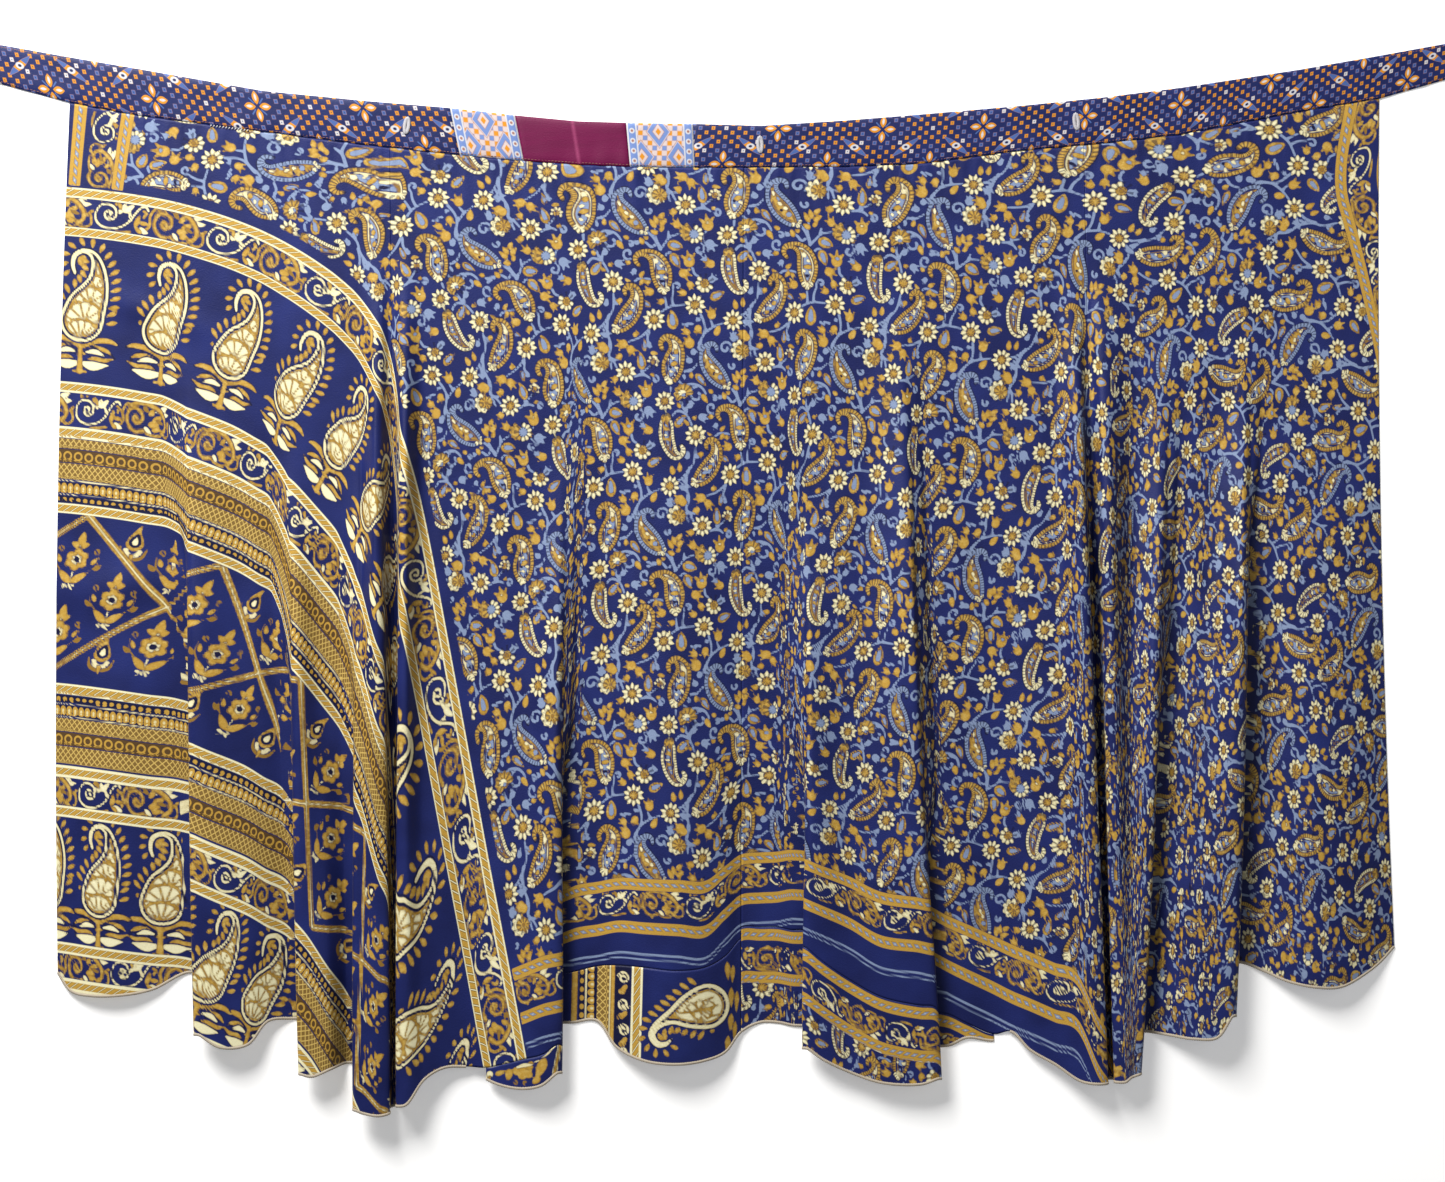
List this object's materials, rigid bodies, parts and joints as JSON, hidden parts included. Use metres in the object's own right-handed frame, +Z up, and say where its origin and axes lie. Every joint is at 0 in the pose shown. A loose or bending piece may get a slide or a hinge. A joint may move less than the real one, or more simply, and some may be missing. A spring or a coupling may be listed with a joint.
{
  "type": "wrap skirt",
  "caption": "Wrap skirt of printed cloth laid flat, with soft lapped folds, a pieced waistband, long straight ties and patched strips along the hem.",
  "frame": {"origin": "middle of the whole outline, ties included, on the surface that the skirt lies on", "axes": "+X from the left side edge to the right one, +Y from the hem to the waistband, +Z up off the surface, through the face of the cloth"},
  "size_m": [2.4824, 1.1426, 0.0232],
  "materials": {
    "skirt_cloth": "satin print",
    "hem_cloth": "satin print",
    "band_cloth": "printed crepe",
    "lattice_cloth": "printed crepe",
    "plain_band_cloth": "plain crepe"
  },
  "bodies": {
    "root": {"skirt_left": "skirt_cloth", "skirt_centre_left": "skirt_cloth", "skirt_centre_right": "skirt_cloth", "skirt_right": "skirt_cloth", "hem_strip_left": "hem_cloth", "hem_strip_middle": "hem_cloth", "hem_strip_right": "hem_cloth", "band_left": "band_cloth", "lattice_left": "lattice_cloth", "band_middle": "plain_band_cloth", "lattice_right": "lattice_cloth", "band_right": "band_cloth"}
  },
  "joints": []
}
